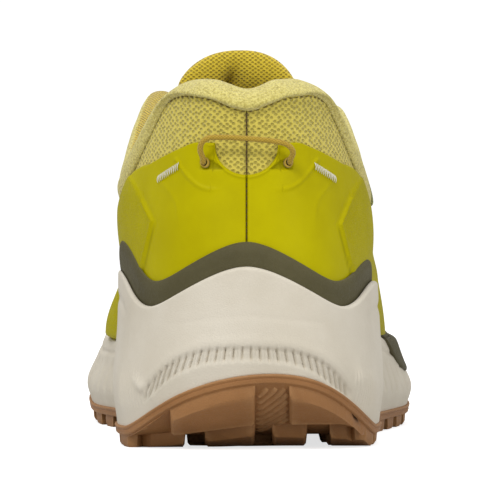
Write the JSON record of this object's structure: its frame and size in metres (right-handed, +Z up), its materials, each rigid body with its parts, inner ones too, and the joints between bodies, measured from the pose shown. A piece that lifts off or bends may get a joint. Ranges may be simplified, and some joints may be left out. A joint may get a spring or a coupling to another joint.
{
  "type": "running shoe",
  "caption": "Right trail running shoe with a padded collar, laced throat, welded overlays, waved foam midsole and lugged gum outsole.",
  "frame": {"origin": "on the ground, on the sole's lug under the centre of the round heel", "axes": "+Y from heel to toe, +X towards the outer (lateral) side of the right foot, +Z up"},
  "size_m": [0.1158, 0.2978, 0.1319],
  "materials": {
    "rubber": "moulded gum rubber, matt",
    "midsole_foam": "moulded foam, matt",
    "band": "moulded, matt",
    "stiff_plastic": "thin sheet",
    "board": "stiff non-woven",
    "foam": "open-cell foam",
    "mesh": "engineered mesh",
    "film": "welded film, satin",
    "lining": "brushed knit",
    "tongue_fabric": "fine mesh",
    "bar_tack": "dense embroidery",
    "seam": "stitched seam tape",
    "webbing": "woven webbing",
    "tip_plastic": "shrunk plastic",
    "cord": "round braided cord"
  },
  "bodies": {
    "shoe": {"aglet_lateral": "tip_plastic", "aglet_medial": "tip_plastic", "back_seam": "seam", "bar_tack_lateral": "bar_tack", "bar_tack_medial": "bar_tack", "collar_foam": "foam", "collar_lining": "lining", "eyestay_lateral": "film", "eyestay_medial": "film", "forefoot_band": "band", "heel_band": "band", "heel_counter": "stiff_plastic", "heel_film_lateral": "film", "heel_film_medial": "film", "lace": "cord", "lace_loop_lateral_1": "webbing", "lace_loop_lateral_2": "webbing", "lace_loop_lateral_3": "webbing", "lace_loop_lateral_4": "webbing", "lace_loop_medial_1": "webbing", "lace_loop_medial_2": "webbing", "lace_loop_medial_3": "webbing", "lace_loop_medial_4": "webbing", "lasting_board": "board", "midsole": "midsole_foam", "outsole": "rubber", "pull_eyelet_lateral": "film", "pull_eyelet_medial": "film", "quarter_lateral": "mesh", "quarter_lining_lateral": "lining", "quarter_lining_medial": "lining", "quarter_medial": "mesh", "shank_plate": "stiff_plastic", "side_panel_lateral": "film", "side_panel_medial": "film", "toe_cap": "film", "toe_puff": "board", "tongue_facing": "tongue_fabric", "tongue_foam": "foam", "tongue_lining": "tongue_fabric", "vamp": "mesh", "vamp_lining": "lining"},
    "pull_cord": {"pull_loop": "cord"},
    "tongue_tip": {"tongue_tip_facing": "tongue_fabric", "tongue_tip_foam": "foam", "tongue_tip_lining": "tongue_fabric"},
    "footbed": {"insole": "foam"}
  },
  "joints": [
    {"name": "pull_cord_swing", "type": "hinge", "parent": "shoe", "child": "pull_cord", "pos_m": [0, -0.03144, 0.09351], "axis": [1, 0, 0], "range_deg": [0, 100]},
    {"name": "tongue_fold", "type": "hinge", "parent": "shoe", "child": "tongue_tip", "pos_m": [-0.002, 0.08621, 0.11203], "axis": [-1, 0, 0], "range_deg": [0, 25], "stiffness_Nm_per_rad": 0.05},
    {"name": "footbed_lift", "type": "hinge", "parent": "shoe", "child": "footbed", "pos_m": [0, 0.239, 0.02874], "axis": [-1, 0, 0], "range_deg": [0, 3]}
  ]
}
